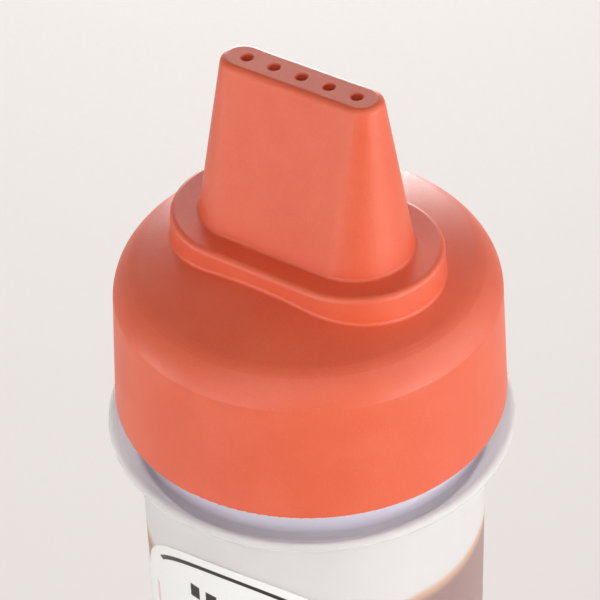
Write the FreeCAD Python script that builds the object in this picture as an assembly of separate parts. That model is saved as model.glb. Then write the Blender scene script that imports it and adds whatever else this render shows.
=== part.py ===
"""Squeeze bottle for sauce, with a one-piece screw cap that carries a flat five-hole spout.

The bottle stands on its base ring at z = 0 with its axis on Z. The spout's long side lies along X,
and the label faces -Y, turned a little towards +X. All sizes are in millimetres and degrees.
"""
import FreeCAD
import Part

import math
import os

# Bottle body: a thin moulded shell with a pushed-up base.
body_radius = 25.0
body_wall = 1.3
ledge_height = 136.0
heel_radius = 4.0
foot_width = 3.0
base_push_up = 2.2
base_wall = 1.5

# Bead: the rounded lip round the ledge that the neck rises from, and how far it shows past the cap.
bead_reach = 4.2
bead_radius = 0.8
bead_rise = 0.5
bead_show = 1.3

# Neck: it runs up inside the cap, and its rim seats against the cap's sealing rib.
neck_rise = 12.0
neck_wall = 1.6
neck_clearance = 1.0
neck_root_radius = 0.8
rim_round = 0.5

# Cap: a drafted skirt under a shallow dome, hollow, in one piece with the plinth and the spout.
cap_gap = 4.2
cap_draft = 2.9
cap_wall = 1.5
dome_apex = 26.7
dome_radius = 74.5
dome_edge_radius = 5.9
cap_lip_round = 0.4
rib_width = 1.2

# Plinth: the raised oval step on the dome that the spout stands on.
plinth_height = 28.55
plinth_half_length = 20.05
plinth_half_width = 12.0
plinth_draft = 1.5
plinth_edge_round = 0.8
plinth_root_round = 0.45

# Spout: it tapers from the plinth to a narrow tip with a row of holes.
spout_height = 24.3
spout_base_half_length = 16.0
spout_base_half_width = 8.15
spout_tip_half_length = 12.2
spout_tip_half_width = 2.95
spout_wall = 1.3
spout_tip_wall = 1.6
spout_tip_round = 1.0
spout_root_round = 0.45
hole_count = 5
hole_pitch = 4.28
hole_radius = 0.8
hole_lead_in = 0.15

# Sauce: it fills the bottle up to this distance under the ledge.
sauce_headspace = 18.9

# Label: a thin sticker with round ends, wrapped on the wall. Its half width is measured along the wall.
label_half_width = 23.0
label_length = 76.0
label_drop = 10.8
label_thickness = 0.2
label_turn = 4.7
label_end_points = 17

# A cutting shape runs this far past the face that it opens.
overshoot = 1.0

# Sizes worked out from the ones above. The cap is drawn with its lower edge at z = 0, then lifted.
cap_edge_height = ledge_height + cap_gap
mouth_height = cap_edge_height + neck_rise
sauce_level = ledge_height - sauce_headspace
cap_radius = body_radius + bead_reach - bead_show
draft_slope = math.tan(math.radians(cap_draft))
draft_stretch = 1 / math.cos(math.radians(cap_draft))
neck_radius = cap_radius - cap_wall * draft_stretch - neck_rise * draft_slope - neck_clearance
neck_bore = neck_radius - neck_wall
spout_top = plinth_height + spout_height

UP = FreeCAD.Vector(0, 0, 1)
ORIGIN = FreeCAD.Vector(0, 0, 0)


class Profile:
    """A closed outline in the XZ plane, drawn edge by edge from the axis back to the axis."""

    def __init__(self, height):
        """Start on the axis at this height."""
        self.here = FreeCAD.Vector(0, 0, height)
        self.edges = []

    def line(self, radius, height):
        """Go straight to a point."""
        end = FreeCAD.Vector(radius, 0, height)
        self.edges.append(Part.LineSegment(self.here, end).toShape())
        self.here = end

    def arc(self, radius, height, centre_radius, centre_height):
        """Go to a point along an arc of less than half a turn about a centre."""
        end = FreeCAD.Vector(radius, 0, height)
        centre = FreeCAD.Vector(centre_radius, 0, centre_height)
        middle = (self.here - centre) + (end - centre)
        middle.normalize()
        middle = centre + middle * self.here.distanceToPoint(centre)
        self.edges.append(Part.Arc(self.here, middle, end).toShape())
        self.here = end

    def turned(self):
        """Close the outline along the axis and turn it into a solid."""
        first = self.edges[0].valueAt(self.edges[0].FirstParameter)
        self.line(first.x, first.z)
        return Part.Face(Part.Wire(self.edges)).revolve(ORIGIN, UP, 360)


def sphere_centre_height(rim_radius, rim_height, rise):
    """Height of the centre of the shallow dome that rises this far above its rim."""
    return rim_height + rise / 2 - rim_radius ** 2 / (2 * rise)


# ---------------------------------------------------------------- bottle, sauce and label

def draw_base(profile, lift, wall_radius, heel):
    """Draw the pushed-up base, its foot ring and its heel, lifted by a wall for the inside."""
    foot_outer = body_radius - heel_radius
    foot_inner = foot_outer - foot_width
    dome_centre = sphere_centre_height(foot_inner, lift, base_push_up)
    profile.arc(foot_inner, lift, 0, dome_centre)
    profile.line(foot_outer, lift)
    profile.arc(wall_radius, lift + heel, foot_outer, lift + heel)


def draw_bead(profile):
    """Draw the hollow flare under the bead, the bead itself and its step down to the ledge."""
    centre = body_radius + bead_reach - bead_radius
    flare = bead_reach - bead_radius
    top = ledge_height + bead_rise
    middle = top - bead_radius
    bottom = middle - bead_radius
    profile.line(body_radius, bottom - flare)
    profile.arc(centre, bottom, centre, bottom - flare)
    profile.arc(centre + bead_radius, middle, centre, middle)
    profile.arc(centre, top, centre, middle)
    profile.arc(centre - bead_rise, ledge_height, centre, ledge_height)


def draw_neck(profile):
    """Draw the ledge, the neck and its rounded rim, and close over the mouth."""
    root = neck_radius + neck_root_radius
    profile.line(root, ledge_height)
    profile.arc(neck_radius, ledge_height + neck_root_radius, root, ledge_height + neck_root_radius)
    profile.line(neck_radius, mouth_height - rim_round)
    crown = neck_radius - rim_round
    profile.arc(crown, mouth_height, crown, mouth_height - rim_round)
    profile.line(0, mouth_height)


def bottle_outside():
    """The bottle as a filled shape."""
    profile = Profile(base_push_up)
    draw_base(profile, 0, body_radius, heel_radius)
    draw_bead(profile)
    draw_neck(profile)
    return profile.turned()


def bottle_cavity():
    """The space inside the bottle, from its floor to just past its mouth."""
    profile = Profile(base_wall + base_push_up)
    draw_base(profile, base_wall, body_radius - body_wall, heel_radius - body_wall)
    shoulder = ledge_height + bead_rise - bead_radius - bead_reach
    profile.line(body_radius - body_wall, shoulder)
    profile.line(neck_bore, ledge_height - base_wall)
    profile.line(neck_bore, mouth_height + overshoot)
    profile.line(0, mouth_height + overshoot)
    return profile.turned()


def make_bottle():
    """The open shell: its outside less its cavity."""
    return bottle_outside().cut(bottle_cavity())


def make_sauce():
    """The filling: all of the cavity up to the sauce's level."""
    filled = Part.makeCylinder(body_radius, sauce_level)
    return bottle_cavity().common(filled)


def wall_point(along, height):
    """The point that lies this far round the wall from the middle of the front, seen from the front."""
    turn = along / body_radius
    return FreeCAD.Vector(body_radius * math.sin(turn), 0, height)


def label_end(centre_height, start_angle):
    """One round end of the label: half a circle measured on the wall, as a smooth curve."""
    points = []
    for step in range(label_end_points):
        angle = math.radians(start_angle + 180 * step / (label_end_points - 1))
        along = label_half_width * math.cos(angle)
        points.append(wall_point(along, centre_height + label_half_width * math.sin(angle)))
    curve = Part.BSplineCurve()
    curve.interpolate(points)
    return curve.toShape()


def make_label():
    """The sticker: a sleeve on the wall, trimmed to the outline that is seen from the front."""
    top = ledge_height - label_drop
    upper_centre = top - label_half_width
    lower_centre = top - label_length + label_half_width
    upper = label_end(upper_centre, 0)
    lower = label_end(lower_centre, 180)
    left = Part.LineSegment(wall_point(-label_half_width, upper_centre),
                            wall_point(-label_half_width, lower_centre)).toShape()
    right = Part.LineSegment(wall_point(label_half_width, lower_centre),
                             wall_point(label_half_width, upper_centre)).toShape()
    outline = Part.Face(Part.Wire([upper, left, lower, right]))
    trim = outline.extrude(FreeCAD.Vector(0, -2 * body_radius, 0))
    base = FreeCAD.Vector(0, 0, top - label_length)
    sleeve = Part.makeCylinder(body_radius + label_thickness, label_length, base)
    sleeve = sleeve.cut(Part.makeCylinder(body_radius, label_length, base))
    label = sleeve.common(trim)
    label.rotate(ORIGIN, UP, label_turn)
    return label


# ---------------------------------------------------------------- cap

def dome_edge_centre():
    """Radius and height of the centre of the arc that joins the skirt to the dome, tangent to both."""
    reach = cap_radius - dome_edge_radius * draft_stretch
    dome_centre = dome_apex - dome_radius
    span = dome_radius - dome_edge_radius
    square = 1 + draft_slope ** 2
    half = draft_slope * reach + dome_centre
    rest = reach ** 2 + dome_centre ** 2 - span ** 2
    height = (half + math.sqrt(half ** 2 - square * rest)) / square
    return reach - draft_slope * height, height


def dome_shell(inset):
    """The skirt and dome as a filled shape, drawn this far inside the outer surface."""
    dome_centre = dome_apex - dome_radius
    edge_radius, edge_height = dome_edge_centre()
    round_radius = dome_edge_radius - inset
    skirt_angle = math.radians(cap_draft)
    dome_angle = math.atan2(edge_height - dome_centre, edge_radius)
    foot = -overshoot if inset else 0
    profile = Profile(foot)
    profile.line(cap_radius - inset * draft_stretch - foot * draft_slope, foot)
    profile.line(edge_radius + round_radius * math.cos(skirt_angle),
                 edge_height + round_radius * math.sin(skirt_angle))
    profile.arc(edge_radius + round_radius * math.cos(dome_angle),
                edge_height + round_radius * math.sin(dome_angle), edge_radius, edge_height)
    profile.arc(0, dome_apex - inset, 0, dome_centre)
    return profile.turned()


def oval(half_length, half_width, height):
    """A flat outline with straight sides along X and round ends."""
    straight = half_length - half_width

    def at(x, y):
        return FreeCAD.Vector(x, y, height)

    return Part.Wire([
        Part.LineSegment(at(-straight, -half_width), at(straight, -half_width)).toShape(),
        Part.Arc(at(straight, -half_width), at(half_length, 0), at(straight, half_width)).toShape(),
        Part.LineSegment(at(straight, half_width), at(-straight, half_width)).toShape(),
        Part.Arc(at(-straight, half_width), at(-half_length, 0), at(-straight, -half_width)).toShape(),
    ])


def plinth_section(height, inset):
    """The plinth's outline at a height, drawn this far inside its wall."""
    grow = (plinth_height - height) * math.tan(math.radians(plinth_draft)) - inset
    return oval(plinth_half_length + grow, plinth_half_width + grow, height)


def spout_section(height, inset):
    """The spout's outline at a height, drawn this far inside its wall."""
    share = (height - plinth_height) / spout_height
    half_length = spout_base_half_length + share * (spout_tip_half_length - spout_base_half_length)
    half_width = spout_base_half_width + share * (spout_tip_half_width - spout_base_half_width)
    return oval(half_length - inset, half_width - inset, height)


def loft(lower, upper):
    """A solid with straight sides between two outlines."""
    return Part.makeLoft([lower, upper], True, True)


def rounded(shape, radius, picked):
    """Round the edges that a test picks."""
    return shape.makeFillet(radius, [edge for edge in shape.Edges if picked(edge.BoundBox)])


def cap_outside():
    """The skirt, dome, plinth and spout as one filled shape with its edges rounded."""
    root = dome_apex - plinth_half_width
    shape = dome_shell(0).fuse(loft(plinth_section(root, 0), plinth_section(plinth_height, 0)))
    reach = plinth_half_length + (plinth_height - root) * math.tan(math.radians(plinth_draft))
    shape = rounded(shape, plinth_root_round,
                    lambda box: box.ZMax < dome_apex and box.ZMin > root and box.XMax < reach
                    and box.XMin > -reach)
    shape = rounded(shape, plinth_edge_round, lambda box: box.ZMin > plinth_height - 0.01)
    shape = shape.fuse(loft(spout_section(plinth_height, 0), spout_section(spout_top, 0)))
    shape = rounded(shape, spout_root_round,
                    lambda box: abs(box.ZMin - plinth_height) < 0.01 and box.ZLength < 0.01
                    and box.XMax < spout_base_half_length + 0.01
                    and abs(box.YMax) < spout_base_half_width + 0.01)
    shape = rounded(shape, spout_tip_round, lambda box: box.ZMin > spout_top - 0.01)
    return rounded(shape, cap_lip_round, lambda box: box.ZMax < 0.01)


def cap_cavity():
    """The space inside the cap: under the dome, in the plinth and up the spout."""
    step = plinth_height - cap_wall
    shape = dome_shell(cap_wall)
    root = dome_apex - plinth_half_width
    shape = shape.fuse(loft(plinth_section(root, cap_wall), plinth_section(step, cap_wall)))
    tip = spout_top - spout_tip_wall
    return shape.fuse(loft(spout_section(step, spout_wall), spout_section(tip, spout_wall)))


def sealing_rib():
    """The ring under the dome that the bottle's rim seats against, over the middle of the rim."""
    middle = neck_radius - neck_wall / 2
    base = FreeCAD.Vector(0, 0, neck_rise)
    rib = Part.makeCylinder(middle + rib_width / 2, dome_apex - neck_rise, base)
    rib = rib.cut(Part.makeCylinder(middle - rib_width / 2, dome_apex - neck_rise, base))
    return rib.common(dome_shell(0))


def spout_hole(x):
    """One hole through the tip, with a small lead-in at its mouth."""
    depth = spout_tip_wall + overshoot
    bore = Part.makeCylinder(hole_radius, depth, FreeCAD.Vector(x, 0, spout_top - depth))
    lead = Part.makeCone(hole_radius, hole_radius + hole_lead_in, hole_lead_in,
                         FreeCAD.Vector(x, 0, spout_top - hole_lead_in))
    return bore.fuse(lead)


def make_cap():
    """The cap: its outside less its cavity and its holes, with the sealing rib added."""
    shape = cap_outside().cut(cap_cavity())
    for index in range(hole_count):
        shape = shape.cut(spout_hole((index - (hole_count - 1) / 2) * hole_pitch))
    shape = shape.fuse(sealing_rib()).removeSplitter()
    shape.translate(FreeCAD.Vector(0, 0, cap_edge_height))
    return shape


def main():
    """Make each piece and write it to its own file."""
    os.makedirs("parts", exist_ok=True)
    pieces = {
        "bottle": make_bottle(),
        "cap": make_cap(),
        "sauce": make_sauce(),
        "label": make_label(),
    }
    for name, shape in pieces.items():
        solid = shape.Solids[0]
        solid.exportStep(f"parts/{name}.step")
        print(name, len(shape.Solids), "solid", round(solid.Volume / 1000, 2), "cm3", solid.isValid())


main()
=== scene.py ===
"""Looks of a sauce squeeze bottle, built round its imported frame.

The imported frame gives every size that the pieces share: the walls, the ledge, the level of the
sauce and the label's place. The bottle, the sauce and the label are surfaces worked out here with
numpy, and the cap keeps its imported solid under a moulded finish. All lengths are in metres.
Points closer than TOUCH are one point, and flat pattern coordinates from 0 to 1 cover PATTERN_SPAN.
"""
import logging
import math
from dataclasses import dataclass, field
from enum import Enum
from typing import Any, Sequence

import bmesh
import bpy
import numpy as np
from mathutils import Matrix, Vector


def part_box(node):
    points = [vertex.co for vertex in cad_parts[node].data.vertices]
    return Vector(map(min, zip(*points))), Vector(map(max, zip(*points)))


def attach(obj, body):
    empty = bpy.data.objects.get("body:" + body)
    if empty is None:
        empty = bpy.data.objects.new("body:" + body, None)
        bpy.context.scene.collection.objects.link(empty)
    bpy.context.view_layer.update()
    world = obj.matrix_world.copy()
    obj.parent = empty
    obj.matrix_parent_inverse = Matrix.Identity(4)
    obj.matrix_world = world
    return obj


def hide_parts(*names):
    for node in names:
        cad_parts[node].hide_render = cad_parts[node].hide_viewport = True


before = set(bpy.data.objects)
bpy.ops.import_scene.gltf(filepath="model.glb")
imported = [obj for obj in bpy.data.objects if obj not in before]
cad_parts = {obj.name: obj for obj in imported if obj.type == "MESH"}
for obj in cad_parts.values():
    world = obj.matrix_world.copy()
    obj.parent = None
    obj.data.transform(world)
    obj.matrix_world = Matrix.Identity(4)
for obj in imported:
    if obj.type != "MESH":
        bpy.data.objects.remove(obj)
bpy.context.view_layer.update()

MM = 0.001
TOUCH = 1e-7
PATTERN_SPAN = 0.1
BODY = "root"
Colour = tuple[float, float, float]
Span = tuple[float, float]

log = logging.getLogger("squeeze_bottle")


# ---------------------------------------------------------------- shapes

def fillet(before: np.ndarray, corner: np.ndarray, after: np.ndarray, radius: float,
           steps: int) -> np.ndarray:
    """Arc that rounds one corner of an outline, tangent to both of its sides.

    The centre lies on the corner's bisector at radius / sin(half the corner's angle), and the
    points turn evenly about it from one side to the other.

    Args:
        before: The outline's point before the corner.
        corner: The corner itself.
        after: The outline's point after the corner.
        radius: Radius of the arc.
        steps: Number of spans in the arc.

    Returns:
        Points of the arc, one row each.
    """
    back = (before - corner) / np.linalg.norm(before - corner)
    ahead = (after - corner) / np.linalg.norm(after - corner)
    half = math.acos(float(np.clip(back @ ahead, -1, 1))) / 2
    bisector = (back + ahead) / np.linalg.norm(back + ahead)
    centre = corner + bisector * radius / math.sin(half)
    first = (corner + back * radius / math.tan(half) - centre) / radius
    last = (corner + ahead * radius / math.tan(half) - centre) / radius
    sweep = math.pi - 2 * half
    share = np.linspace(0, 1, steps + 1)[:, None]
    turn = np.sin((1 - share) * sweep) * first + np.sin(share * sweep) * last
    return centre + radius * turn / math.sin(sweep)


def outline(corners: Sequence[tuple[float, float, float]], longest: float,
            margin: float = 0.2 * MM, steps: int = 8) -> np.ndarray:
    """Turned profile through corners, each rounded by its own radius.

    Between two arcs the side is straight. It gets a point close to each end, which keeps the
    shading of the flat part flat, and even points between them.

    Args:
        corners: Radius, height and rounding radius of each corner; the ends aren't rounded.
        longest: Longest span on a straight side.
        margin: How close to an arc's end the first straight point lies.
        steps: Spans in each arc.

    Returns:
        Radius and height of each point, one row each.
    """
    places = np.array([corner[:2] for corner in corners])
    runs = [places[:1]]
    for index in range(1, len(corners) - 1):
        radius = corners[index][2]
        if radius > 0:
            runs.append(fillet(places[index - 1], places[index], places[index + 1], radius, steps))
        else:
            runs.append(places[index:index + 1])
    runs.append(places[-1:])
    joined = [runs[0]]
    for run in runs[1:]:
        start, end = joined[-1][-1], run[0]
        length = float(np.linalg.norm(end - start))
        if length > 3 * margin:
            count = max(1, math.ceil((length - 2 * margin) / longest))
            share = np.linspace(margin / length, 1 - margin / length, count + 1)[:, None]
            joined.append(start + share * (end - start))
        joined.append(run)
    path = np.concatenate(joined)
    apart = np.linalg.norm(np.diff(path, axis=0), axis=1) > TOUCH
    return path[np.concatenate([[True], apart])]


def turned(profile: np.ndarray, angles: np.ndarray, swell: np.ndarray | float = 0.0) -> np.ndarray:
    """Surface of a profile turned about the Z axis.

    Point (i, j) is at (r cos a, r sin a, z), with r the profile's radius i plus the swell there
    and a the angle j.

    Args:
        profile: Radius and height of each point.
        angles: Angles round the axis.
        swell: Extra radius at each profile point and angle.

    Returns:
        Grid of points, profile by angle by coordinate.
    """
    radius = profile[:, :1] + swell * (profile[:, :1] > 0)
    height = np.broadcast_to(profile[:, 1:], radius.shape if np.ndim(swell) else (len(profile), 1))
    flat = np.stack([radius * np.cos(angles), radius * np.sin(angles)], axis=-1)
    tall = np.broadcast_to(height, flat.shape[:2])[..., None]
    return np.concatenate([flat, tall], axis=-1)


def skin(name: str, grid: np.ndarray, uv: np.ndarray | None = None) -> bpy.types.Object:
    """Mesh object from a grid that wraps round in its second direction.

    Quads join neighbouring points; rows that meet in one point become poles when doubles merge.
    The mesh is closed where its first and last rows are poles or meet.

    Args:
        name: Name of the new object.
        grid: Points, row by column by coordinate.
        uv: Pattern coordinates of each point, if the finish follows the surface.

    Returns:
        The object, with its faces pointing outwards and shaded smooth.
    """
    rows, columns = grid.shape[:2]
    index = np.arange(rows * columns).reshape(rows, columns)
    after = np.roll(index, -1, axis=1)
    quads = np.stack([index[:-1], after[:-1], after[1:], index[1:]], axis=-1).reshape(-1, 4)
    mesh = bpy.data.meshes.new(name)
    mesh.from_pydata(grid.reshape(-1, 3).tolist(), [], quads.tolist())
    if uv is not None:
        layer = mesh.uv_layers.new(name="pattern")
        layer.data.foreach_set("uv", uv.reshape(-1, 2)[quads.ravel()].ravel())
    form = bmesh.new()
    form.from_mesh(mesh)
    bmesh.ops.remove_doubles(form, verts=form.verts, dist=TOUCH)
    bmesh.ops.recalc_face_normals(form, faces=form.faces)
    form.to_mesh(mesh)
    form.free()
    mesh.shade_smooth()
    piece = bpy.data.objects.new(name, mesh)
    bpy.context.scene.collection.objects.link(piece)
    return piece


# ---------------------------------------------------------------- shader writing

class Term:
    """One number socket of a material, which can stand in a written sum."""

    def __init__(self, finish: "Finish", socket: bpy.types.NodeSocket) -> None:
        """Hold a socket and the finish that it belongs to."""
        self.finish = finish
        self.socket = socket

    def _math(self, operation: str, *values: Any) -> "Term":
        """Add one Math node and return its result."""
        node = self.finish.node("ShaderNodeMath", {"operation": operation}, dict(enumerate(values)))
        return Term(self.finish, node.outputs[0])

    def __add__(self, other: Any) -> "Term":
        """Sum of this and another value."""
        return self._math("ADD", self, other)

    def __radd__(self, other: Any) -> "Term":
        """Sum, with this on the right."""
        return self._math("ADD", other, self)

    def __sub__(self, other: Any) -> "Term":
        """This less another value."""
        return self._math("SUBTRACT", self, other)

    def __rsub__(self, other: Any) -> "Term":
        """Another value less this."""
        return self._math("SUBTRACT", other, self)

    def __mul__(self, other: Any) -> "Term":
        """Product of this and another value."""
        return self._math("MULTIPLY", self, other)

    def __rmul__(self, other: Any) -> "Term":
        """Product, with this on the right."""
        return self._math("MULTIPLY", other, self)

    def __pow__(self, other: Any) -> "Term":
        """This to a power."""
        return self._math("POWER", self, other)

    def __abs__(self) -> "Term":
        """This without its sign."""
        return self._math("ABSOLUTE", self)

    def over(self, other: Any) -> "Term":
        """The larger of this and another value."""
        return self._math("MAXIMUM", self, other)

    def under(self, other: Any) -> "Term":
        """The smaller of this and another value."""
        return self._math("MINIMUM", self, other)

    def angle(self, across: Any) -> "Term":
        """Angle whose height is this and whose run is another value."""
        return self._math("ARCTAN2", self, across)

    def nearest(self) -> "Term":
        """The whole number nearest to this."""
        return self._math("ROUND", self)

    def ease(self, low: float, high: float) -> "Term":
        """Smooth rise from 0 at low to 1 at high; high below low makes it a fall."""
        node = self.finish.node("ShaderNodeMapRange", {"interpolation_type": "SMOOTHSTEP"},
                                {"Value": self, "From Min": low, "From Max": high})
        return Term(self.finish, node.outputs["Result"])

    def ease_from(self, origin: float, span: Span) -> "Term":
        """Smooth rise from 0 to 1 over a span that is measured from an origin."""
        return self.ease(origin + span[0], origin + span[1])


def toned(colour: Colour, share: float) -> Colour:
    """A colour with all of its channels scaled by a share."""
    return tuple(channel * share for channel in colour)


class Finish:
    """One node tree, of a material or of the world, written from the shader back to its patterns."""

    def __init__(self, owner: bpy.types.Material | bpy.types.World) -> None:
        """Empty the node tree of a new material or world.

        Args:
            owner: What the tree belongs to.
        """
        self.owner = owner
        self.owner.use_nodes = True
        self.tree = self.owner.node_tree
        self.tree.nodes.clear()

    def node(self, kind: str, settings: dict[str, Any] | None = None,
             inputs: dict[Any, Any] | None = None) -> bpy.types.Node:
        """Add a node: its settings first, then the values or links of its sockets.

        Args:
            kind: The node's type name.
            settings: Properties of the node.
            inputs: Value, Term or output socket for each input, by its name or number.

        Returns:
            The new node.
        """
        made = self.tree.nodes.new(kind)
        for key, value in (settings or {}).items():
            setattr(made, key, value)
        for key, value in (inputs or {}).items():
            target = made.inputs[key]
            if isinstance(value, Term):
                self.tree.links.new(value.socket, target)
            elif isinstance(value, bpy.types.NodeSocket):
                self.tree.links.new(value, target)
            elif target.type == "RGBA" and len(value) == 3:
                target.default_value = (*value, 1.0)
            else:
                target.default_value = value
        return made

    def place(self) -> bpy.types.NodeSocket:
        """The point being shaded, in the object's own metres."""
        return self.node("ShaderNodeTexCoord").outputs["Object"]

    def axes(self, vector: bpy.types.NodeSocket) -> tuple[Term, Term, Term]:
        """The three numbers of a vector."""
        split = self.node("ShaderNodeSeparateXYZ", None, {0: vector})
        return tuple(Term(self, output) for output in split.outputs)

    def noise(self, place: bpy.types.NodeSocket, size: float, detail: float = 2.0,
              roughness: float = 0.5) -> Term:
        """Soft random pattern from 0 to 1 whose lumps are about this size."""
        made = self.node("ShaderNodeTexNoise", None, {
            "Vector": place, "Scale": 1 / size, "Detail": detail, "Roughness": roughness})
        return Term(self, made.outputs["Fac"])

    def seen(self) -> Term:
        """Mask of what is looked at rather than lit.

        Returns:
            1 for what the camera, a gloss or a transmission looks at, and 0 for shining light.
        """
        path = self.node("ShaderNodeLightPath")
        camera, glossy, through = (Term(self, path.outputs[name]) for name in (
            "Is Camera Ray", "Is Glossy Ray", "Is Transmission Ray"))
        return camera.over(glossy).over(through)

    def mix(self, share: Any, first: Any, second: Any) -> bpy.types.NodeSocket:
        """Colour between two colours."""
        made = self.node("ShaderNodeMix", {"data_type": "RGBA"}, {0: share, 6: first, 7: second})
        return made.outputs[2]

    def bump(self, height: Term, depth: float, normal: Any = None) -> bpy.types.NodeSocket:
        """Normal of a surface with a relief.

        Args:
            height: Pattern of the relief.
            depth: Metres that a height of 1 stands for.
            normal: Normal that the relief is added to, if not the surface's own.

        Returns:
            The normal.
        """
        inputs = {"Height": height, "Distance": depth, "Strength": 1.0}
        if normal is not None:
            inputs["Normal"] = normal
        return self.node("ShaderNodeBump", None, inputs).outputs["Normal"]

    def close(self, **sockets: Any) -> bpy.types.Material:
        """End the tree of a material in one Principled shader.

        Args:
            sockets: What goes into the shader's sockets, named with _ for each space.

        Returns:
            The material.
        """
        inputs = {name.replace("_", " "): value for name, value in sockets.items()}
        shader = self.node("ShaderNodeBsdfPrincipled", None, inputs)
        self.node("ShaderNodeOutputMaterial", None, {"Surface": shader.outputs[0]})
        return self.owner


@dataclass(frozen=True)
class CoralPlastic:
    """Moulded polypropylene: fine matte grain with painted glints, and a soft crease where dome meets
    skirt.

    The rounding between the two has its centre edge_out from the axis and edge_up over the cap's
    lower edge.
    """

    cap_edge: float
    edge_out: float = 21.1 * MM
    edge_up: float = 17.5 * MM
    edge_radius: float = 5.9 * MM
    crease_start: float = math.radians(9.0)
    crease_end: float = math.radians(50.0)
    crease_lean: float = math.radians(13.0)
    colour: Colour = (0.74, 0.102, 0.036)
    pale: Colour = (0.77, 0.117, 0.046)
    # Painted glints: colour and share of the pale specks that stand in for the grain's sparkle.
    painted_glint: Colour = (0.84, 0.30, 0.22)
    painted_glint_share: float = 0.22
    cloud_size: float = 9 * MM
    flow_size: float = 3 * MM
    grain_size: float = 0.17 * MM
    grain_depth: float = 0.035 * MM
    least_roughness: float = 0.34
    flow_roughness: float = 0.05
    grain_roughness: float = 0.14

    def crease(self, finish: Finish, place: bpy.types.NodeSocket) -> Term:
        """Relief that makes the rounded edge of the dome meet the skirt at a soft crease.

        With a the angle about the rounding's centre and u its share of the way from the crease's
        start to its end, the surface sinks by radius * (end - start) * tan(lean) * (u - u * u / 2).
        The lean of the surface then falls evenly from its full value at the crease to nothing.

        Args:
            finish: The finish that the nodes go in.
            place: The point being shaded.

        Returns:
            Height of the relief in metres.
        """
        x, y, z = finish.axes(place)
        across = (x * x + y * y) ** 0.5 - self.edge_out
        angle = (z - (self.cap_edge + self.edge_up)).angle(across)
        span = self.crease_end - self.crease_start
        share = ((angle - self.crease_start) * (1 / span)).over(0.0).under(1.0)
        depth = self.edge_radius * span * math.tan(self.crease_lean)
        return (share * share * 0.5 - share) * depth

    def material(self) -> bpy.types.Material:
        """Build the node material.

        Returns:
            The material, with cloudy colour, uneven gloss, the crease, a spark-eroded grain and
            painted glints on it.
        """
        finish = Finish(bpy.data.materials.new("coral_plastic"))
        place = finish.place()
        cloud = finish.noise(place, self.cloud_size, 3.0)
        grain = finish.noise(place, self.grain_size, 2.0, 0.6)
        flow = finish.noise(place, self.flow_size)
        tint = finish.mix(cloud.ease(0.3, 0.7), self.colour, self.pale)
        # Painted glints: pale specks where the grain is high stand in for its sparkle.
        tint = finish.mix(grain.ease(0.52, 0.78) * self.painted_glint_share, tint, self.painted_glint)
        creased = finish.bump(self.crease(finish, place), 1.0)
        return finish.close(
            Base_Color=tint,
            Roughness=self.least_roughness + self.flow_roughness * flow
            + self.grain_roughness * grain,
            IOR=1.5,
            Specular_IOR_Level=0.6,
            Subsurface_Weight=0.03,
            Subsurface_Radius=(0.003, 0.0010, 0.0005),
            Subsurface_Scale=0.5,
            Normal=finish.bump(grain, self.grain_depth, creased),
        )


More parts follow.
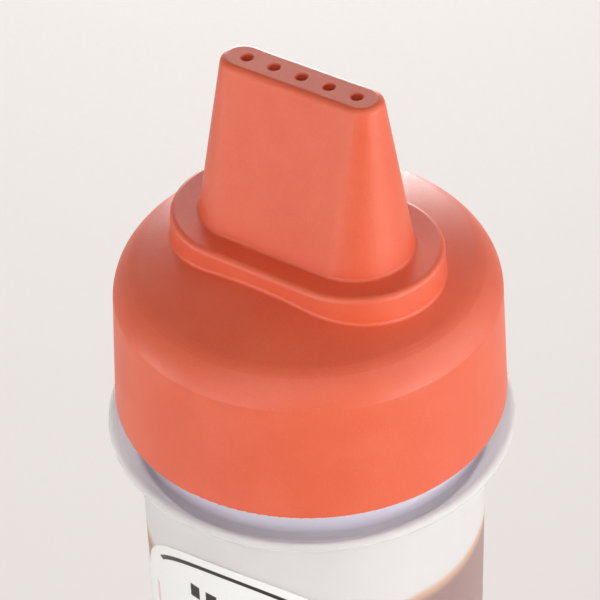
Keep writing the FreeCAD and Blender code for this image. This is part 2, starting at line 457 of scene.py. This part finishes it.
@dataclass(frozen=True)
class MilkyPlastic:
    """Translucent polyethylene: milky where empty, stained where the sauce backs it, with painted
    shade and glow.

    Each band is a span over which one look gives way to the next. Those of the level and its rim
    are heights from the level that shows, that of the wall is measured outwards from the wall's
    inside, the groove's top and foot are heights from the ledge, and the rest are measured
    outwards from the middle of the bead.
    """

    level: float
    inner_radius: float
    ledge: float
    bead_middle: float
    empty: Colour = (0.81, 0.768, 0.765)
    # bead: paler colour of the bead, a painted glow standing in for light that shines through it.
    bead: Colour = (0.97, 0.955, 0.94)
    # shade: painted shade of the groove under the cap's edge.
    shade: Colour = (0.78, 0.775, 0.90)
    rim: Colour = (0.72, 0.455, 0.30)
    backed: Colour = (0.385, 0.235, 0.225)
    cloud_tone: float = 0.975
    cloud_size: float = 7 * MM
    rise: float = 0.6 * MM
    waver: float = 1.0 * MM
    waver_size: float = 6 * MM
    level_band: Span = (0.8 * MM, -0.8 * MM)
    rim_band: Span = (-0.32 * MM, -2.56 * MM)
    wall_band: Span = (-0.7 * MM, 0.3 * MM)
    groove_top: Span = (2.4 * MM, 0.2 * MM)
    groove_foot: Span = (-0.3 * MM, 0.0)
    groove_side: Span = (0.5 * MM, -0.3 * MM)
    bead_glow_band: Span = (-0.2 * MM, 0.6 * MM)
    clear_band: Span = (-3.2 * MM, -2.2 * MM)
    clearness: float = 0.47
    ripple_size: float = 2.2 * MM
    ripple_depth: float = 0.02 * MM

    def stained(self, finish: Finish, height: Term, wall: Term,
                clear: bpy.types.NodeSocket) -> bpy.types.NodeSocket:
        """Colour of the wall where the sauce backs it, with a warm rim at the level.

        Args:
            finish: The finish that the nodes go in.
            height: Height over the level that shows.
            wall: Mask of the wall, which leaves out the neck.
            clear: Colour where nothing backs the wall.

        Returns:
            The wall's colour.
        """
        wet = height.ease_from(0.0, self.level_band) * wall
        deep = height.ease_from(0.0, self.rim_band) * wall
        return finish.mix(wet, clear, finish.mix(deep, self.rim, self.backed))

    def unbacked(self, finish: Finish, cloud: Term, z: Term, across: Term) -> bpy.types.NodeSocket:
        """Colour of the empty shell: cloudy, painted shade in the groove by the neck, a painted glow
        on the bead.

        Args:
            finish: The finish that the nodes go in.
            cloud: Soft pattern of the clouds.
            z: Height above the table.
            across: Distance from the axis.

        Returns:
            The empty shell's colour.
        """
        clear = finish.mix(cloud.ease(0.25, 0.75), self.empty, toned(self.empty, self.cloud_tone))
        # Painted shade: the cool shade colour darkens the groove under the cap's edge, where the cap
        # shades it.
        groove = z.ease_from(self.ledge, self.groove_top) * z.ease_from(self.ledge, self.groove_foot)
        groove = groove * across.ease_from(self.bead_middle, self.groove_side)
        # Painted glow: the bead turns paler, standing in for light that comes through it.
        past = across.ease_from(self.bead_middle, self.bead_glow_band)
        return finish.mix(past, finish.mix(groove, clear, self.shade), self.bead)

    def material(self) -> bpy.types.Material:
        """Build the node material.

        Returns:
            The material. The level of the sauce is a soft, wavering line round the wall, and the
            ledge and the bead are partly see-through.
        """
        finish = Finish(bpy.data.materials.new("milky_plastic"))
        place = finish.place()
        x, y, z = finish.axes(place)
        across = (x * x + y * y) ** 0.5
        waver = (finish.noise(place, self.waver_size) - 0.5) * self.waver
        height = z + waver - (self.level + self.rise)
        wall = across.ease_from(self.inner_radius, self.wall_band)
        cloud = finish.noise(place, self.cloud_size, 3.0)
        clear = self.unbacked(finish, cloud, z, across)
        ripple = finish.noise(place, self.ripple_size, 3.0)
        return finish.close(
            Base_Color=self.stained(finish, height, wall, clear),
            Alpha=1.0 - self.clearness * across.ease_from(self.bead_middle, self.clear_band),
            Roughness=0.36 + 0.12 * cloud,
            IOR=1.5,
            Transmission_Weight=0.10,
            Subsurface_Weight=0.35,
            Subsurface_Radius=(0.0030, 0.0027, 0.0029),
            Subsurface_Scale=1.0,
            Normal=finish.bump(ripple, self.ripple_depth),
        )


@dataclass(frozen=True)
class BrownSauce:
    """Thick, glossy brown sauce."""

    colour: Colour = (0.19, 0.055, 0.020)
    thin: Colour = (0.33, 0.11, 0.035)
    cloud_size: float = 5 * MM
    ripple_size: float = 1.6 * MM
    ripple_depth: float = 0.05 * MM

    def material(self) -> bpy.types.Material:
        """Build the node material.

        Returns:
            The material, a wet brown with faint clouds.
        """
        finish = Finish(bpy.data.materials.new("brown_sauce"))
        place = finish.place()
        cloud = finish.noise(place, self.cloud_size, 4.0)
        ripple = finish.noise(place, self.ripple_size, 3.0)
        return finish.close(
            Base_Color=finish.mix(cloud.ease(0.35, 0.75), self.colour, self.thin),
            Roughness=0.14 + 0.12 * cloud,
            IOR=1.38,
            Coat_Weight=0.4,
            Coat_Roughness=0.08,
            Normal=finish.bump(ripple, self.ripple_depth),
        )


@dataclass(frozen=True)
class PrintedSticker:
    """White coated paper with a border line and a few plain printed shapes.

    Places on the label are measured from its middle: along it to the right, and up.
    """

    half_width: float
    half_straight: float
    paper: Colour = (0.93, 0.915, 0.89)
    ink: Colour = (0.014, 0.008, 0.006)
    coral: Colour = (0.72, 0.16, 0.09)
    blush: Colour = (0.86, 0.62, 0.60)
    line_inset: float = 1.45 * MM
    line_width: float = 0.72 * MM
    line_end: float = 30.6 * MM
    dash_top: float = 31.3 * MM
    dash_height: float = 2.4 * MM
    dash_pitch: float = 3.1 * MM
    dash_share: float = 0.62
    dash_count: int = 5
    drop_up: float = 6.0 * MM
    drop_radius: float = 8.0 * MM
    drop_taper: float = 0.8
    drop_squash: float = 0.55
    drop_blur: float = 0.01
    bar_along: float = 16.4 * MM
    bar_width: float = 1.0 * MM
    bar_end: float = 24 * MM
    bar_blur: float = 0.15 * MM
    rule_down: float = 14 * MM
    rule_apart: float = 4 * MM
    rule_width: float = 0.8 * MM
    rule_end: float = 13 * MM
    fibre_size: float = 0.5 * MM
    fibre_depth: float = 0.006 * MM
    fibre_tone: float = 0.97

    def sharp(self, inside: Term, blur: float = 0.06 * MM) -> Term:
        """1 where a distance inside a shape is above nothing, with a thin soft edge.

        Args:
            inside: Distance inside the shape, negative outside it.
            blur: Half the width of the soft edge.

        Returns:
            The shape's mask.
        """
        return inside.ease(-blur, blur)

    def border(self, along: Term, up: Term) -> Term:
        """Mask of the dark line that follows both round ends of the label.

        The distance inside the label is the half width less the distance to its straight spine.

        Args:
            along: Distance to the right of the label's middle.
            up: Distance above it.

        Returns:
            The line's mask.
        """
        past = (abs(up) - self.half_straight).over(0.0)
        inside = self.half_width - (along * along + past * past) ** 0.5
        band = self.line_width / 2 - abs(inside - self.line_inset - self.line_width / 2)
        return self.sharp(band) * self.sharp(abs(up) - self.line_end)

    def dashes(self, along: Term, up: Term) -> Term:
        """Mask of a row of short dark blocks near the top.

        The distance along is folded about the nearest block's middle.

        Args:
            along: Distance to the right of the label's middle.
            up: Distance above it.

        Returns:
            The row's mask.
        """
        nearest = (along * (1 / self.dash_pitch)).nearest() * self.dash_pitch
        reach = (self.dash_count - 0.5) / 2 * self.dash_pitch
        wide = self.dash_pitch * self.dash_share / 2 - abs(along - nearest)
        middle = self.dash_top - self.dash_height / 2
        tall = self.dash_height / 2 - abs(up - middle)
        return self.sharp(wide.under(tall)) * self.sharp(reach - abs(along))

    def drop(self, along: Term, up: Term) -> Term:
        """Mask of a drop: a disc whose upper half is stretched and narrows as it rises.

        In radii, the upper half's heights are shortened by the squash, and its widths are
        stretched by 1 + taper * height squared, before both are measured against a unit disc.

        Args:
            along: Distance to the right of the label's middle.
            up: Distance above it.

        Returns:
            The drop's mask.
        """
        high = (up - self.drop_up) * (1 / self.drop_radius)
        rise = high.over(0.0)
        side = along * (1 / self.drop_radius) * (1.0 + self.drop_taper * rise * rise)
        tall = rise * self.drop_squash - high.under(0.0)
        return self.sharp(1.0 - (side * side + tall * tall) ** 0.5, self.drop_blur)

    def bars(self, along: Term, up: Term) -> Term:
        """Mask of a soft upright bar down each side.

        Args:
            along: Distance to the right of the label's middle.
            up: Distance above it.

        Returns:
            The bars' mask.
        """
        wide = self.bar_width / 2 - abs(abs(along) - self.bar_along)
        return self.sharp(wide.under(self.bar_end - abs(up)), self.bar_blur)

    def rules(self, along: Term, up: Term) -> Term:
        """Mask of two level rules, one over the other, in the lower half.

        Args:
            along: Distance to the right of the label's middle.
            up: Distance above it.

        Returns:
            The rules' mask.
        """
        tall = self.rule_width / 2 - abs(abs(up + self.rule_down) - self.rule_apart / 2)
        return self.sharp(tall.under(self.rule_end - abs(along)))

    def material(self) -> bpy.types.Material:
        """Build the node material.

        Returns:
            The material. Its pattern reads the label's own flat coordinates.
        """
        finish = Finish(bpy.data.materials.new("printed_sticker"))
        flat = finish.node("ShaderNodeUVMap", {"uv_map": "pattern"}).outputs["UV"]
        across, tall, _ = finish.axes(flat)
        along = (across - 0.5) * PATTERN_SPAN
        up = (tall - 0.5) * PATTERN_SPAN
        dark = self.border(along, up).over(self.dashes(along, up)).over(self.rules(along, up))
        fibre = finish.noise(finish.place(), self.fibre_size, 4.0, 0.65)
        paper = finish.mix(fibre.ease(0.3, 0.8), self.paper, toned(self.paper, self.fibre_tone))
        lined = finish.mix(self.bars(along, up), paper, self.blush)
        tinted = finish.mix(self.drop(along, up), lined, self.coral)
        return finish.close(
            Base_Color=finish.mix(dark, tinted, self.ink),
            Roughness=0.36 + 0.14 * fibre - 0.08 * dark,
            IOR=1.47,
            Normal=finish.bump(fibre, self.fibre_depth),
        )


@dataclass(frozen=True)
class PaleFloor:
    """Matt off-white table top. It gives back the lamps' light, and its plain tone lights nothing."""

    colour: Colour = (0.84, 0.825, 0.80)
    seen_colour: Colour = (0.12, 0.117, 0.113)
    shown: Colour = (0.665, 0.617, 0.592)
    cloud_size: float = 160 * MM
    cloud_tone: float = 0.97
    grain_size: float = 1.5 * MM
    grain_depth: float = 0.02 * MM

    def material(self) -> bpy.types.Material:
        """Build the node material.

        Returns:
            The material, nearly even, with wide faint clouds. What the camera, a gloss or a
            transmission sees of it gets a plain tone on top, and the shadow stays.
        """
        finish = Finish(bpy.data.materials.new("pale_floor"))
        place = finish.place()
        cloud = finish.noise(place, self.cloud_size)
        grain = finish.noise(place, self.grain_size)
        seen = finish.seen()
        plain = finish.mix(seen, self.colour, self.seen_colour)
        dull = finish.mix(seen, toned(self.colour, self.cloud_tone),
                          toned(self.seen_colour, self.cloud_tone))
        return finish.close(
            Base_Color=finish.mix(cloud, plain, dull),
            Roughness=0.7 + 0.1 * grain,
            Emission_Color=finish.mix(seen, (0.0, 0.0, 0.0), self.shown),
            Emission_Strength=1.0,
            Normal=finish.bump(grain, self.grain_depth),
        )


# ---------------------------------------------------------------- pieces

@dataclass(frozen=True)
class Frame:
    """Sizes that the pieces share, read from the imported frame."""

    inner_radius: float = field(default_factory=lambda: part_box("sauce")[1].x)
    bead_radius: float = field(default_factory=lambda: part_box("bottle")[1].x)
    mouth: float = field(default_factory=lambda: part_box("bottle")[1].z)
    cap_edge: float = field(default_factory=lambda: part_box("cap")[0].z)
    level: float = field(default_factory=lambda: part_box("sauce")[1].z)
    floor: float = field(default_factory=lambda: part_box("sauce")[0].z)
    label_low: float = field(default_factory=lambda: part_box("label")[0].z)
    label_high: float = field(default_factory=lambda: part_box("label")[1].z)


def swell(angle: np.ndarray, height: np.ndarray, low: float, high: float) -> np.ndarray:
    """Faint unevenness of a blown wall, as extra radius.

    Two slow waves round the bottle, of two and three lobes, rise and fall once and twice between
    the heel and the shoulder, and fade out at both ends.

    Args:
        angle: Angles round the axis.
        height: Heights above the table.
        low: Where the even wall starts.
        high: Where it ends.

    Returns:
        Extra radius at each height and angle.
    """
    share = np.clip((height - low) / (high - low), 0, 1)
    two = np.sin(2 * angle + 0.7) * np.sin(math.pi * share)
    three = np.sin(3 * angle + 2.1) * np.sin(2 * math.pi * share)
    return 0.07 * MM * two + 0.04 * MM * three


@dataclass
class BottleShell:
    """The thin blown shell: base, wall, bead, ledge and neck.

    An arc gets a slack less than its full radius where it meets the next arc, so that a short
    straight side stays between them.
    """

    sizes: Frame
    wall: float = 1.3 * MM
    heel: float = 4.0 * MM
    foot_width: float = 3.0 * MM
    push_up: float = 2.2 * MM
    bead: float = 0.8 * MM
    bead_rise: float = 0.5 * MM
    bead_slack: float = 0.001 * MM
    flare_slack: float = 0.01 * MM
    step_round: float = 0.4 * MM
    step_slant: float = 0.02 * MM
    cap_gap: float = 4.2 * MM
    neck_wall: float = 1.6 * MM
    neck_radius: float = 24.79 * MM
    neck_root_round: float = 0.8 * MM
    rim_round: float = 0.5 * MM
    rim_crown: float = 0.6
    mouth_round: float = 0.3 * MM
    bore_round: float = 1.0 * MM
    shoulder: float = 4.0 * MM
    base_points: int = 13
    longest: float = 3.0 * MM
    columns: int = 224

    @property
    def radius(self) -> float:
        """Outer radius of the wall."""
        return self.sizes.inner_radius + self.wall

    @property
    def ledge(self) -> float:
        """Height of the ledge that the neck rises from."""
        return self.sizes.cap_edge - self.cap_gap

    @property
    def angles(self) -> np.ndarray:
        """Angles of the columns of points round the axis."""
        return np.linspace(0, 2 * math.pi, self.columns, endpoint=False)

    @property
    def foot_radius(self) -> float:
        """Inner radius of the ring that the bottle stands on."""
        return self.radius - self.heel - self.foot_width

    @property
    def crown(self) -> float:
        """Radius of the middle of the rim."""
        return self.neck_radius - self.rim_crown * self.neck_wall

    def uneven(self, angle: np.ndarray, height: np.ndarray) -> np.ndarray:
        """Faint unevenness of the wall at these angles and heights."""
        return swell(angle, height, self.heel, self.ledge - self.shoulder)

    def base_dome(self, lift: float, outward: bool) -> np.ndarray:
        """Pushed-up middle of the base: height falls with the square of the radius.

        Args:
            lift: Height of its rim.
            outward: Whether the points run from the axis to the rim.

        Returns:
            Radius and height of each point.
        """
        share = np.linspace(0, 1, self.base_points + 1)[:-1]
        dome = np.stack([self.foot_radius * share, lift + self.push_up * (1 - share ** 2)], axis=1)
        return dome if outward else dome[::-1]

    def outside(self) -> np.ndarray:
        """Profile of the outer surface, from the middle of the base to the crown of the rim.

        Returns:
            Radius and height of each point.
        """
        ledge, top = self.ledge, self.ledge + self.bead_rise
        low = top - 2 * self.bead
        bead = self.sizes.bead_radius
        step = bead - self.bead - self.bead_rise
        wall = outline([
            (self.foot_radius, 0.0, 0.0),
            (self.radius, 0.0, self.heel),
            (self.radius, low, bead - self.bead - self.radius - self.flare_slack),
            (bead, low, self.bead - self.bead_slack),
            (bead, top, self.bead - self.bead_slack),
            (step, top, self.step_round),
            (step - self.step_slant, ledge, 0.0),
            (self.neck_radius, ledge, self.neck_root_round),
            (self.neck_radius, self.sizes.mouth, self.rim_round),
            (self.crown, self.sizes.mouth, 0.0),
        ], self.longest)
        return np.concatenate([self.base_dome(0.0, True), wall])

    def inside(self) -> np.ndarray:
        """Profile of the inner surface, from the crown of the rim to the middle of the floor.

        Returns:
            Radius and height of each point.
        """
        bore = self.neck_radius - self.neck_wall
        inner = self.sizes.inner_radius
        flare = self.sizes.bead_radius - self.bead - self.radius
        low = self.ledge + self.bead_rise - 2 * self.bead - flare
        floor = self.sizes.floor
        wall = outline([
            (self.crown, self.sizes.mouth, 0.0),
            (bore, self.sizes.mouth, self.mouth_round),
            (bore, self.ledge - floor, self.bore_round),
            (inner, low, self.bore_round),
            (inner, floor, self.heel - self.wall),
            (self.foot_radius, floor, 0.0),
        ], self.longest)
        return np.concatenate([wall[1:], self.base_dome(floor, False)])

    def build(self) -> bpy.types.Object:
        """Turn the two profiles into one closed shell.

        Returns:
            The shell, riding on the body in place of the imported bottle.
        """
        profile = np.concatenate([self.outside(), self.inside()])
        uneven = self.uneven(self.angles[None, :], profile[:, 1:])
        piece = skin("bottle_shell", turned(profile, self.angles, uneven))
        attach(piece, BODY)
        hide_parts("bottle")
        return piece

    def dress(self, piece: bpy.types.Object) -> None:
        """Give the shell its milky finish."""
        finish = MilkyPlastic(self.sizes.level, self.sizes.inner_radius, self.ledge,
                              self.sizes.bead_radius - self.bead)
        piece.data.materials.append(finish.material())


@dataclass
class SauceFill:
    """The sauce, which reaches just into the wall round it and stands up a little at its edge."""

    sizes: Frame
    shell: BottleShell
    reach: float = 0.15 * MM
    meniscus: float = 0.6 * MM
    meniscus_width: float = 0.9 * MM
    curl: Span = (0.1 * MM, 4 * MM)
    middle: Span = (5 * MM, 24 * MM)

    def build(self) -> bpy.types.Object:
        """Turn the filling's profile: floor, wall and a surface that curls up at the wall.

        The surface's height falls from the wall inwards as an exponential of the distance. Its
        rings lie close together over the curl and wide apart over the middle.

        Returns:
            The filling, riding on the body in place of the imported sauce.
        """
        radius = self.sizes.inner_radius + self.reach
        floor = self.sizes.floor - self.reach
        level = self.sizes.level - self.meniscus
        sides = outline([
            (0.0, floor, 0.0),
            (radius, floor, self.shell.heel - self.shell.wall),
            (radius, level + self.meniscus, 0.0),
        ], self.shell.longest)
        from_wall = np.concatenate([np.linspace(*self.curl, 14), np.linspace(*self.middle, 12)])
        inner = radius - from_wall
        top = np.stack([inner, level + self.meniscus * np.exp(-from_wall / self.meniscus_width)],
                       axis=1)
        profile = np.concatenate([sides, top, [[0.0, level]]])
        uneven = self.shell.uneven(self.shell.angles[None, :], profile[:, 1:])
        piece = skin("sauce_fill", turned(profile, self.shell.angles, uneven))
        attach(piece, BODY)
        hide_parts("sauce")
        return piece

    def dress(self, piece: bpy.types.Object) -> None:
        """Give the filling its glossy brown."""
        piece.data.materials.append(BrownSauce().material())


@dataclass
class LabelSticker:
    """The sticker with round ends, wrapped on the wall."""

    sizes: Frame
    shell: BottleShell
    half_width: float = 23.0 * MM
    thickness: float = 0.16 * MM
    turn: float = math.radians(4.7)
    glue: float = 0.01 * MM
    edge_drop: float = 0.06 * MM
    edge_share: float = 0.02
    end_rows: int = 25
    straight_rows: int = 20
    columns: int = 61

    @property
    def half_straight(self) -> float:
        """Half the height of the label's straight sides."""
        return (self.sizes.label_high - self.sizes.label_low) / 2 - self.half_width

    def build(self) -> bpy.types.Object:
        """Bend a flat outline with round ends on to the wall.

        Row i is at a height inside the label and runs between the two sides of the outline there.
        A flat distance s along a row turns by s / radius about the axis. Each row runs across the
        front and back again behind it, so that the sticker is closed. The front face falls by
        the edge's drop as an exponential of the distance to the side.

        Returns:
            The sticker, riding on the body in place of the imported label.
        """
        middle = (self.sizes.label_low + self.sizes.label_high) / 2
        straight = self.half_straight
        end = np.linspace(0, math.pi / 2, self.end_rows)
        up = np.concatenate([-straight - self.half_width * np.cos(end),
                             np.linspace(-straight, straight, self.straight_rows + 2)[1:-1],
                             straight + self.half_width * np.sin(end)])
        past = np.clip(np.abs(up) - straight, 0, None)
        side = np.sqrt(np.clip(self.half_width ** 2 - past ** 2, 0, None))
        across = np.sin(np.linspace(-1, 1, self.columns) * math.pi / 2)
        drop = self.edge_drop * np.exp(-(1 - np.abs(across)) / self.edge_share)
        front = np.broadcast_to(self.thickness - drop, (len(up), self.columns))
        back = np.broadcast_to(self.glue, (len(up), self.columns))
        flat = np.concatenate([side[:, None] * across, side[:, None] * across[::-1]], axis=1)
        lift = np.concatenate([front, back], axis=1)
        height = np.broadcast_to((middle + up)[:, None], flat.shape)
        angle = -math.pi / 2 + self.turn + flat / self.shell.radius
        reach = self.shell.radius + self.shell.uneven(angle, height) + lift
        grid = np.stack([reach * np.cos(angle), reach * np.sin(angle), height], axis=-1)
        tall = np.broadcast_to(up[:, None], flat.shape)
        pattern = 0.5 + np.stack([flat, tall], axis=-1) / PATTERN_SPAN
        piece = skin("label_sticker", grid, pattern)
        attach(piece, BODY)
        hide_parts("label")
        return piece

    def dress(self, piece: bpy.types.Object) -> None:
        """Give the sticker its paper and its printed shapes."""
        finish = PrintedSticker(self.half_width, self.half_straight)
        piece.data.materials.append(finish.material())


@dataclass
class CapDress:
    """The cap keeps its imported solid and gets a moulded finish."""

    sizes: Frame
    node: str = "cap"

    def dress(self) -> bpy.types.Object:
        """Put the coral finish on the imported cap.

        Returns:
            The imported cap.
        """
        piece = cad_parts[self.node]
        material = CoralPlastic(self.sizes.cap_edge).material()
        if piece.material_slots:
            for slot in piece.material_slots:
                slot.material = material
        else:
            piece.data.materials.append(material)
        return piece


# ---------------------------------------------------------------- studio

class Side(Enum):
    """Where a lamp stands, as degrees round from the camera's side towards its right."""

    BACK = 180.0
    RIGHT = 90.0
    NEAR_RIGHT = 60.0
    FRONT_RIGHT = 45.0
    FRONT = 0.0
    NEAR_LEFT = -30.0
    FRONT_LEFT = -45.0
    LEFT = -85.0


@dataclass(frozen=True)
class Lamp:
    """One soft square lamp that points at the cap."""

    name: str
    side: Side
    height_angle: float
    size: float
    power: float
    distance: float = 0.9

    def build(self, target: Vector, front: float) -> bpy.types.Object:
        """Stand the lamp on its side of the object.

        Args:
            target: The point that it looks at.
            front: Angle of the camera's side, round from -Y towards +X.

        Returns:
            The lamp.
        """
        turn = front + math.radians(self.side.value)
        lift = math.radians(self.height_angle)
        away = Vector((math.sin(turn) * math.cos(lift), -math.cos(turn) * math.cos(lift),
                       math.sin(lift)))
        data = bpy.data.lights.new(self.name, "AREA")
        data.shape = "SQUARE"
        data.size = self.size
        data.energy = self.power
        lamp = bpy.data.objects.new(self.name, data)
        lamp.matrix_world = Matrix.Translation(target + away * self.distance) @ \
            away.to_track_quat("Z", "Y").to_matrix().to_4x4()
        bpy.context.scene.collection.objects.link(lamp)
        return lamp


@dataclass
class Studio:
    """Floor, surroundings, lamps and camera.

    The camera stands at a distance, a turn and a lift from the middle of the cap's lower edge, and
    aims a little above and to the left of it. The lamps aim lamp_aim above it.
    """

    sizes: Frame
    distance: float = 380.3 * MM
    turn: float = math.radians(34.73)
    lift: float = math.radians(41.20)
    roll: float = math.radians(-1.99)
    aim_up: float = 15.36 * MM
    aim_left: float = 1.17 * MM
    lens: float = 160.2
    surround: Colour = (0.86, 0.85, 0.835)
    ambient: float = 0.0
    floor_drop: float = 0.2 * MM
    floor_rings: Span = (0.05, 3.0)
    lamp_aim: float = 15 * MM
    lamps: tuple[Lamp, ...] = (
        Lamp("back_low", Side.BACK, 2.0, 0.40, 8.2),
        Lamp("right_low", Side.NEAR_RIGHT, 2.0, 0.30, 2.4),
        Lamp("right_high", Side.NEAR_RIGHT, 42.0, 0.5, 1.6),
        Lamp("right_side", Side.RIGHT, 20.0, 0.4, 1.5),
        Lamp("right_foot", Side.RIGHT, -2.5, 0.2, 0.8),
        Lamp("front_right_foot", Side.FRONT_RIGHT, -2.5, 0.2, 1.45),
        Lamp("front_high", Side.FRONT, 43.0, 0.5, 1.1),
        Lamp("left_high", Side.FRONT_LEFT, 43.0, 0.4, 1.05),
        Lamp("left_mid", Side.NEAR_LEFT, 20.0, 0.4, 1.4),
        Lamp("front_left_foot", Side.FRONT_LEFT, -2.5, 0.2, 1.5),
        Lamp("left_foot", Side.LEFT, -2.5, 0.2, 1.6),
    )

    def floor(self) -> bpy.types.Object:
        """Lay a wide, flat, round floor just under the object, its rings closer near the middle.

        Returns:
            The floor, which is part of the set and not of the object.
        """
        radius = np.concatenate([[0.0], np.geomspace(*self.floor_rings, 24)])
        profile = np.stack([radius, np.full(len(radius), -self.floor_drop)], axis=1)
        angles = np.linspace(0, 2 * math.pi, 96, endpoint=False)
        piece = skin("floor", turned(profile, angles))
        piece.data.materials.append(PaleFloor().material())
        return piece

    def world(self) -> None:
        """Surround the set with a pale tone to look at. It shines at the ambient strength, here 0."""
        world = bpy.data.worlds.new("surround")
        bpy.context.scene.world = world
        finish = Finish(world)
        shown = finish.node("ShaderNodeBackground", None, {"Color": self.surround, "Strength": 1.0})
        shining = finish.node("ShaderNodeBackground", None, {
            "Color": (1.0, 1.0, 1.0), "Strength": self.ambient})
        either = finish.node("ShaderNodeMixShader", None, {
            0: finish.seen(), 1: shining.outputs[0], 2: shown.outputs[0]})
        finish.node("ShaderNodeOutputWorld", None, {"Surface": either.outputs[0]})

    def camera(self) -> bpy.types.Object:
        """Stand the camera above the front right, close, with a long lens and a slight roll.

        Returns:
            The camera, which the scene looks through.
        """
        pivot = Vector((0.0, 0.0, self.sizes.cap_edge))
        right = Vector((math.cos(self.turn), math.sin(self.turn), 0.0))
        away = Vector((math.sin(self.turn) * math.cos(self.lift),
                       -math.cos(self.turn) * math.cos(self.lift), math.sin(self.lift)))
        stand = pivot + away * self.distance
        aim = pivot + Vector((0, 0, self.aim_up)) - right * self.aim_left
        back = (stand - aim).normalized()
        side = Vector((0, 0, 1)).cross(back).normalized()
        up = back.cross(side)
        cosine, sine = math.cos(self.roll), math.sin(self.roll)
        rolled_side = cosine * side + sine * up
        rolled_up = cosine * up - sine * side
        turn = Matrix((rolled_side, rolled_up, back)).transposed().to_4x4()
        data = bpy.data.cameras.new("camera")
        data.lens = self.lens
        data.sensor_width = 36.0
        data.clip_start = 0.01
        camera = bpy.data.objects.new("camera", data)
        camera.matrix_world = Matrix.Translation(stand) @ turn
        bpy.context.scene.collection.objects.link(camera)
        bpy.context.scene.camera = camera
        return camera

    def build(self) -> None:
        """Set the whole studio."""
        self.floor()
        self.world()
        target = Vector((0, 0, self.sizes.cap_edge + self.lamp_aim))
        for lamp in self.lamps:
            lamp.build(target, self.turn)
        self.camera()
        bpy.context.scene.view_settings.view_transform = "Standard"


def main() -> None:
    """Build the bottle, its sauce, its label and its cap, then the studio round them."""
    logging.basicConfig(level=logging.INFO, format="%(name)s: %(message)s")
    sizes = Frame()
    shell = BottleShell(sizes)
    for maker in (shell, SauceFill(sizes, shell), LabelSticker(sizes, shell)):
        piece = maker.build()
        maker.dress(piece)
        log.info("%s: %d faces", piece.name, len(piece.data.polygons))
    cap = CapDress(sizes).dress()
    log.info("%s: packed solid, %d faces", cap.name, len(cap.data.polygons))
    Studio(sizes).build()


if __name__ == "__main__":
    main()
